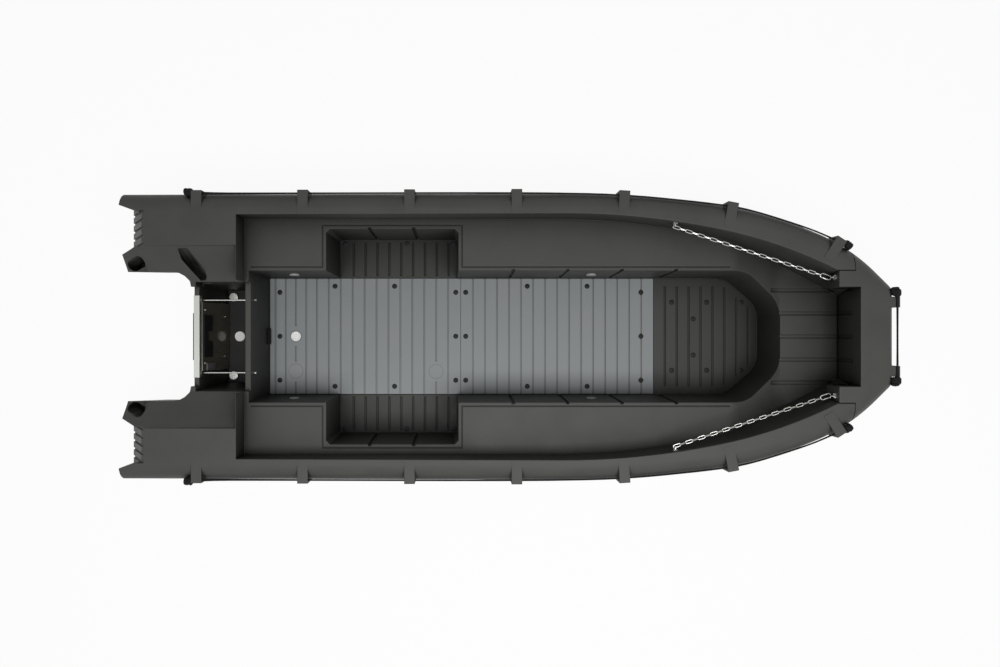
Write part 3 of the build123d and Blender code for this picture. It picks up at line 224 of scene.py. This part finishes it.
def turned(profile, steps=32):
    """A solid turned about Z from (radius, height) in millimetres, from the foot of its axis to the head."""
    bm = bmesh.new()
    verts = [bm.verts.new((radius * mm, 0, height * mm)) for radius, height in profile]
    edges = [bm.edges.new(pair) for pair in zip(verts, verts[1:])]
    bmesh.ops.spin(
        bm, geom=verts + edges, axis=(0, 0, 1), cent=(0, 0, 0), angle=2 * math.pi, steps=steps, use_merge=True
    )
    bmesh.ops.remove_doubles(bm, verts=bm.verts, dist=0.01 * mm)
    bmesh.ops.recalc_face_normals(bm, faces=bm.faces)
    return bm


def wire_ring(length, width, wire, bend_steps=8, sides=10):
    """A ring of round wire, long along X and flat in XY, with straight sides and round ends, in millimetres."""
    bend = (width - wire) / 2 * mm
    half = (length - width) / 2 * mm
    bm = bmesh.new()
    section = bmesh.ops.create_circle(bm, segments=sides, radius=wire / 2 * mm)["verts"]
    bmesh.ops.rotate(bm, verts=section, matrix=Matrix.Rotation(math.pi / 2, 3, "Y"))
    bmesh.ops.translate(bm, verts=section, vec=(-half, bend, 0))
    end = section + list({edge for vert in section for edge in vert.link_edges})
    for side in (1, -1):
        if half > 0:
            edges = [part for part in end if isinstance(part, bmesh.types.BMEdge)]
            end = bmesh.ops.extrude_edge_only(bm, edges=edges)["geom"]
            end = [part for part in end if not isinstance(part, bmesh.types.BMFace)]
            verts = [part for part in end if isinstance(part, bmesh.types.BMVert)]
            bmesh.ops.translate(bm, verts=verts, vec=(2 * half * side, 0, 0))
        end = bmesh.ops.spin(
            bm, geom=end, axis=(0, 0, 1), cent=(half * side, 0, 0), angle=-math.pi, steps=bend_steps
        )["geom_last"]
    bmesh.ops.remove_doubles(bm, verts=bm.verts, dist=JOIN_DISTANCE)
    bmesh.ops.recalc_face_normals(bm, faces=bm.faces)
    return bm


def block(low, high):
    """A block between two corners, in millimetres."""
    bm = bmesh.new()
    bmesh.ops.create_cube(bm, size=1)
    low, high = Vector(low) * mm, Vector(high) * mm
    bmesh.ops.scale(bm, verts=bm.verts, vec=high - low)
    bmesh.ops.translate(bm, verts=bm.verts, vec=(low + high) / 2)
    return bm


def gather(shapes):
    """Joins shapes, each with the matrix of its place, into one."""
    whole = bmesh.new()
    part = bpy.data.meshes.new("part")
    for bm, place in shapes:
        bm.to_mesh(part)
        part.transform(place)
        whole.from_mesh(part)
    bpy.data.meshes.remove(part)
    return whole


def at(x, y, z):
    """The matrix of a place in millimetres."""
    return Matrix.Translation(Vector((x, y, z)) * mm)


def heading(direction, roll=0.0):
    """The turn that lays X along a direction, rolled about it."""
    turn = Vector(direction).to_track_quat("X", "Z").to_matrix().to_4x4()
    return turn @ Matrix.Rotation(roll, 4, "X")


def piece(name, bm, finish, body, stands_for=(), bevel=0.0, round_levels=0):
    """Makes the shape a piece that rides on its body, with its edges rounded by the bevel's width in millimetres."""
    if bevel:
        weigh_edges(bm, bevel)
    mesh = bpy.data.meshes.new(name)
    bm.to_mesh(mesh)
    bm.free()
    if "custom_normal" in mesh.attributes:
        mesh.attributes.remove(mesh.attributes["custom_normal"])
    mesh.shade_smooth()
    mesh.set_sharp_from_angle(angle=math.radians(SHARP_ANGLE))
    mesh.materials.append(finish)
    made = bpy.data.objects.new(name, mesh)
    bpy.context.scene.collection.objects.link(made)
    if bevel:
        rounding = made.modifiers.new("rounding", "BEVEL")
        rounding.width = bevel * mm
        rounding.segments = 2
        rounding.limit_method = "WEIGHT"
        rounding.use_clamp_overlap = False
    if not round_levels:
        facing = made.modifiers.new("facing", "WEIGHTED_NORMAL")
        facing.keep_sharp = True
    else:
        rounding = made.modifiers.new("rounding", "SUBSURF")
        rounding.levels = rounding.render_levels = round_levels
    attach(made, body)
    if stands_for:
        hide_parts(*stands_for)
    return made


def cut(bm, tools):
    """The shape with the tools cut out of it."""
    shapes = []
    for name, shape in (("blank", bm), ("tools", tools)):
        mesh = bpy.data.meshes.new(name)
        shape.to_mesh(mesh)
        shape.free()
        shapes.append(bpy.data.objects.new(name, mesh))
        bpy.context.scene.collection.objects.link(shapes[-1])
    boolean = shapes[0].modifiers.new("cut", "BOOLEAN")
    boolean.operation, boolean.solver, boolean.object = "DIFFERENCE", "EXACT", shapes[1]
    graph = bpy.context.evaluated_depsgraph_get()
    result = bmesh.new()
    result.from_mesh(shapes[0].evaluated_get(graph).data)
    for shape in shapes:
        bpy.data.meshes.remove(shape.data)
    return result


# The tow eyes go straight down through the tips of the sponsons: an oval about as wide as the CAD hole.
EYE_RADIUS, EYE_HALF_SPREAD, EYE_DEPTH = 31, 29, 320
EYE_X, EYE_Y, EYE_Z = -2406, 476, 640
EYE_TURN = 28
tow_eye = bmesh.new()
bmesh.ops.create_cone(
    tow_eye, cap_ends=True, segments=32, radius1=EYE_RADIUS * mm, radius2=EYE_RADIUS * mm, depth=EYE_DEPTH * mm
)
for vert in tow_eye.verts:
    vert.co.x += math.copysign(EYE_HALF_SPREAD * mm, vert.co.x)
tow_eyes = [
    (tow_eye, at(EYE_X, side * EYE_Y, EYE_Z) @ Matrix.Rotation(math.radians(EYE_TURN * side), 4, "Z"))
    for side in (1, -1)
]

# Mouldings and fittings that keep the CAD shape, with the edges rounded as moulding or machining leaves them. The
# hull's and the door's edges are rounded by the finish alone.
# Columns: node, body, finish, width of the rounding in millimetres, material slot.
KEPT_SHAPES = (
    ("hull", "root", polyethylene, 0, "hull_polyethylene"),
    ("bow_door", "door", polyethylene, 0, "hull_polyethylene"),
    ("transom_cap", "root", aluminium, 1, "aluminium_sheet"),
    ("transom_outer_pad", "root", rubber, 2, "pad_black"),
    ("transom_inner_plate", "root", gloss_plate, 1.5, "plate_black"),
    ("transom_inner_pad", "root", rubber, 2, "pad_black"),
    ("socket_plate", "root", dark_abs, 1.5, "disc_grey"),
    ("drain_block", "root", rubber, 2, "pad_black"),
    ("wall_discs", "root", grey_abs, 1.5, "disc_grey"),
    ("tie_rod_port", "root", stainless, 0.8, "stainless"),
    ("tie_rod_starboard", "root", stainless, 0.8, "stainless"),
    ("drain_bung_port", "root", stainless, 1.5, "stainless"),
    ("drain_bung_starboard", "root", stainless, 1.5, "stainless"),
    ("hull_eye_port", "root", stainless, 1, "stainless"),
    ("hull_eye_starboard", "root", stainless, 1, "stainless"),
    ("door_eye_port", "door", stainless, 1, "stainless"),
    ("door_eye_starboard", "door", stainless, 1, "stainless"),
    ("hinge_hull_leaves", "root", stainless, 0.8, "stainless"),
    ("hinge_pins", "root", stainless, 0.8, "stainless"),
    ("hinge_door_leaves", "door", stainless, 0.8, "stainless"),
)
for name, body, finish, width, slot in KEPT_SHAPES:
    shape = merged(name)
    if name == "hull":
        shape = cut(shape, gather(tow_eyes))
    piece(name + "_rounded", shape, finish, body, (name,), bevel=width)

# Floor plates: grooves that part the sheet into boards, with short ones beside the cap and the round knock-outs.
GROOVE_WIDTH, GROOVE_DEPTH, GROOVE_OVERRUN = 13, 6, 5
BOARD, BOARDS_START, BOARD_GROOVES = 86, -1333, 10
FORWARD_BOARDS = 16
END_GROOVES = (-1632, -1558, -1410, -387)
CAP_X, KNOCK_OUT_X = -1485, -473
plate_low, plate_high = [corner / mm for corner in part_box("floor_plate_aft")]
plate_top, plate_side = plate_high.z, plate_high.y
groove_end = plate_side + 1
aft_grooves = [(x, -groove_end, groove_end) for x in END_GROOVES]
aft_grooves += [(BOARDS_START + BOARD * n, -groove_end, groove_end) for n in range(BOARD_GROOVES)]
# Short grooves: place along the boat, and from where to where across it.
aft_grooves += [(CAP_X, 74, 417), (CAP_X, -182, -72), (CAP_X, -417, -326)]
aft_grooves += [(KNOCK_OUT_X, -182, 417), (KNOCK_OUT_X, -417, -326)]
forward_low, forward_high = [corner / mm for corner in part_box("floor_plate_forward")]
forward_board = (forward_high.x - forward_low.x) / FORWARD_BOARDS
forward_grooves = [(forward_low.x + forward_board * n, -groove_end, groove_end) for n in range(1, FORWARD_BOARDS)]
# Rings cut into the sheet: the section of each, in millimetres from its axis and above the sheet.
knock_out = [(50, -1.5), (53, -1.5), (53, 2), (50, 2), (50, -1.5)]
cap_seat = [(39, -1.5), (42, -1.5), (42, 2), (39, 2), (39, -1.5)]
for name, grooves, low, high, rings in (
    (
        "floor_plate_aft",
        aft_grooves,
        plate_low,
        plate_high,
        ((knock_out, CAP_X, -250), (knock_out, KNOCK_OUT_X, -254), (cap_seat, CAP_X, 0)),
    ),
    ("floor_plate_forward", forward_grooves, forward_low, forward_high, ()),
):
    foot, head = high.z - GROOVE_DEPTH, high.z + GROOVE_OVERRUN
    tools = [
        (block((x - GROOVE_WIDTH / 2, start, foot), (x + GROOVE_WIDTH / 2, end, head)), Matrix())
        for x, start, end in grooves
    ]
    tools += [(turned(profile, 48), at(x, y, high.z)) for profile, x, y in rings]
    plate = cut(block(low, high), gather(tools))
    piece(name + "_boards", plate, plate_sheet, "root", (name,))

# Plugs: a domed black head with a ring and a dark hole, over each of the plates' screws and in the moulded floors.
PLUG = [(0, 1), (4, 1), (5, 3.5), (11, 4), (15, 2.8), (18, 0.6), (18, -0.2), (0, -0.2)]
plug = turned(PLUG, 20)
plug_places = [(low + high) / 2 / mm for low, high in solids("plate_fasteners")]
plugs = [(plug, at(p.x, p.y, plate_top)) for p in plug_places]
piece("plate_plugs", gather(plugs), black_plug, "root", ("plate_fasteners",))
# Columns: place along the boat, place to port, height of the floor.
BOW_FLOOR, WELL_FLOOR = 190, 185
MOULDED_PLUGS = [(x, y, BOW_FLOOR) for x in (1226, 1478, 1727) for y in (245, -245)]
MOULDED_PLUGS += [(1381, 125, BOW_FLOOR), (1381, -135, BOW_FLOOR)]
MOULDED_PLUGS += [(x, y, WELL_FLOOR) for x in (-1131, -684, -344) for y in (669, -669)]
plugs = [(plug, at(*place)) for place in MOULDED_PLUGS]
piece("floor_plugs", gather(plugs), black_plug, "root")

# White screw caps: a raised rim, a sunk middle and a finger bar.
CAP = [(0, 3.4), (14, 3.4), (16, 2.2), (25, 2.2), (27, 5), (33, 5), (36, 2.5), (36, -0.2), (0, -0.2)]
cap = turned(CAP, 40)
bar = block((-13, -3, 3), (13, 3, 5.5))
for name in ("inspection_cap", "splashwell_cap"):
    low, high = [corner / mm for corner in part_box(name)]
    middle = (low + high) / 2
    parts = [(cap, at(middle.x, middle.y, low.z)), (bar, at(middle.x, middle.y, low.z))]
    piece(name + "_turned", gather(parts), white_abs, "root", (name,))

# Chains: links of round wire, each where its CAD link lies, and a long snap hook with its gate. A link whose CAD
# solid is taller than UPRIGHT_HEIGHT stands on edge.
HOOK_WIDTH, HOOK_WIRE = 34, 7
GATE = [(0, -14), (4.4, -14), (5, -12), (5, 12), (4.4, 14), (0, 14)]
UPRIGHT_HEIGHT = 15
link = wire_ring(54, 23, 6)
hook = wire_ring(77, HOOK_WIDTH, HOOK_WIRE)
gate = turned(GATE, 12)
gate_place = at(0, -(HOOK_WIDTH - HOOK_WIRE) / 2, 0) @ Matrix.Rotation(math.pi / 2, 4, "Y")
for side, body in (("port", "chain_port_side"), ("starboard", "chain_starboard_side")):
    boxes = sorted(solids("chain_" + side), key=lambda box: box[0].x)
    middles = [(low + high) / 2 for low, high in boxes]
    along = (middles[-1] - middles[0]).normalized()
    links = []
    for middle, (low, high) in zip(middles, boxes):
        upright = high.z - low.z > UPRIGHT_HEIGHT * mm
        links.append((link, Matrix.Translation(middle) @ heading(along, math.pi / 2 if upright else 0)))
    piece("chain_%s_links" % side, gather(links), stainless, body, ("chain_" + side,))
    low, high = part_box("snap_hook_" + side)
    place = Matrix.Translation((low + high) / 2) @ heading(along)
    parts = [(hook, place), (gate, place @ gate_place)]
    piece("snap_hook_%s_wire" % side, gather(parts), stainless, body, ("snap_hook_" + side,))

# Grab lines: the rope's round form, and at each end a knot of several turns.
# Columns: rope, body, then for each knot its place and the turn of its rope in degrees.
KNOTS = (
    ("grab_line_port", "root", ((-2035.8, 925, 734, 0), (2146.4, 577.3, 798.9, -33))),
    ("grab_line_starboard", "root", ((-2035.8, -925, 734, 0), (2146.4, -577.3, 798.9, 33))),
    ("grab_line_bow", "door", ((2443, 284, 799, 90), (2443, -284, 799, 90))),
)
TURN_OFFSETS = (-15, -4, 7, 17)
TURN_SLIP = 2
TURN_TILT, TURN_SKEW = 24, 20
LOOP_LEANS = (-28, 34)
LOOP_SKEW = 8
turn_of_rope = wire_ring(52, 52, 17, bend_steps=9, sides=8)
loop_of_rope = wire_ring(62, 48, 15, bend_steps=7, sides=8)
draw = random.Random(7)
for name, body, knots in KNOTS:
    piece(name + "_rope", merged(name), rope_black, body, (name,), round_levels=2)
    turns = []
    for x, y, z, degrees in knots:
        place = at(x, y, z) @ Matrix.Rotation(math.radians(degrees), 4, "Z")
        for offset in TURN_OFFSETS:
            tilt = Matrix.Rotation(math.radians(90 + draw.uniform(-TURN_TILT, TURN_TILT)), 4, "Y")
            skew = Matrix.Rotation(math.radians(draw.uniform(-TURN_SKEW, TURN_SKEW)), 4, "X")
            slip = at(offset, draw.uniform(-TURN_SLIP, TURN_SLIP), draw.uniform(-TURN_SLIP, TURN_SLIP))
            turns.append((turn_of_rope, place @ slip @ skew @ tilt))
        for lean in LOOP_LEANS:
            skew = Matrix.Rotation(math.radians(lean + draw.uniform(-LOOP_SKEW, LOOP_SKEW)), 4, "Z")
            roll = Matrix.Rotation(math.radians(draw.uniform(0, 180)), 4, "X")
            turns.append((loop_of_rope, place @ roll @ skew))
    piece(name + "_knots", gather(turns), rope_black, body)

# Screws of the inner transom plate: a pair near its head and a pair lower down, square to its raked face.
SCREW = [(0, 2.4), (3, 2.4), (4, 3.8), (7, 3.2), (9, 1.6), (9, -0.2), (0, -0.2)]
# Columns: share of the way from the face's head to its foot, distance to either side.
SCREW_ROWS = ((0.09, 180), (0.81, 140))
screw = turned(SCREW, 16)
inner_plate = merged("transom_inner_plate")
face = max((f for f in inner_plate.faces if f.normal.x > 0.2), key=lambda f: f.calc_area())
level = face.normal.dot(face.verts[0].co)
rim = [v.co for v in inner_plate.verts if abs(face.normal.dot(v.co) - level) < 0.5 * mm]
head, foot = (pick(rim, key=lambda co: co.z) for pick in (max, min))
square = face.normal.to_track_quat("Z", "Y").to_matrix().to_4x4()
screws = []
for share, side in SCREW_ROWS:
    for y in (side, -side):
        place = head.lerp(foot, share)
        place.y = y * mm
        screws.append((screw, Matrix.Translation(place) @ square))
inner_plate.free()
piece("transom_screws", gather(screws), stainless, "root")

# Camera: straight down, from the point that the photo's perspective gives.
IMAGE_WIDTH, FOCAL_PIXELS = 1000, 665
camera_data = bpy.data.cameras.new("camera")
camera = bpy.data.objects.new("camera", camera_data)
bpy.context.scene.collection.objects.link(camera)
bpy.context.scene.camera = camera
camera.location = (-0.265, 0.020, 4.990)
camera_data.sensor_width = 36
camera_data.lens = 36 * FOCAL_PIXELS / IMAGE_WIDTH
camera_data.shift_x = 0.035
camera_data.clip_end = 100

# Floor: matt white paper, which shows white and keeps a faint shadow. It lies a hair under the keels.
PAPER_WHITE_SHARE = 0.94
paper = bpy.data.materials.new("white_paper")
paper.use_nodes = True
tree = paper.node_tree
sheet = tree.nodes["Principled BSDF"]
sheet.inputs["Base Color"].default_value = linear("#f4f4f4")
sheet.inputs["Roughness"].default_value = 0.9
seen = background_rays(tree)
share = add(tree, "Math", {1: PAPER_WHITE_SHARE}, {0: seen}, operation="MULTIPLY")
white = add(tree, "Emission", {"Color": (1, 1, 1, 1), "Strength": 1.0})
both = add(
    tree, "MixShader", links={0: share.outputs["Value"], 1: sheet.outputs["BSDF"], 2: white.outputs["Emission"]}
)
tree.links.new(both.outputs["Shader"], tree.nodes["Material Output"].inputs["Surface"])
bpy.ops.mesh.primitive_plane_add(size=400, location=(0, 0, -0.002))
floor = bpy.context.object
floor.name = "floor"
floor.data.materials.append(paper)

# World and lamp: white behind the object, and a wide soft light overhead, a little to starboard.
WORLD_STRENGTH = 0.16
world = bpy.data.worlds.new("world")
bpy.context.scene.world = world
world.use_nodes = True
sky = world.node_tree.nodes["Background"]
sky.inputs["Color"].default_value = (1, 1, 1, 1)
seen = background_rays(world.node_tree)
strength = add(world.node_tree, "MapRange", {"To Min": WORLD_STRENGTH, "To Max": 1.0}, {"Value": seen})
world.node_tree.links.new(strength.outputs["Result"], sky.inputs["Strength"])
lamp_data = bpy.data.lights.new("overhead", "AREA")
lamp_data.shape = "RECTANGLE"
lamp_data.size, lamp_data.size_y = 7.0, 2.4
lamp_data.energy = 310
lamp = bpy.data.objects.new("overhead", lamp_data)
lamp.location = (0.4, -1.8, 6.2)
bpy.context.scene.collection.objects.link(lamp)

bpy.context.scene.view_settings.view_transform = "Standard"
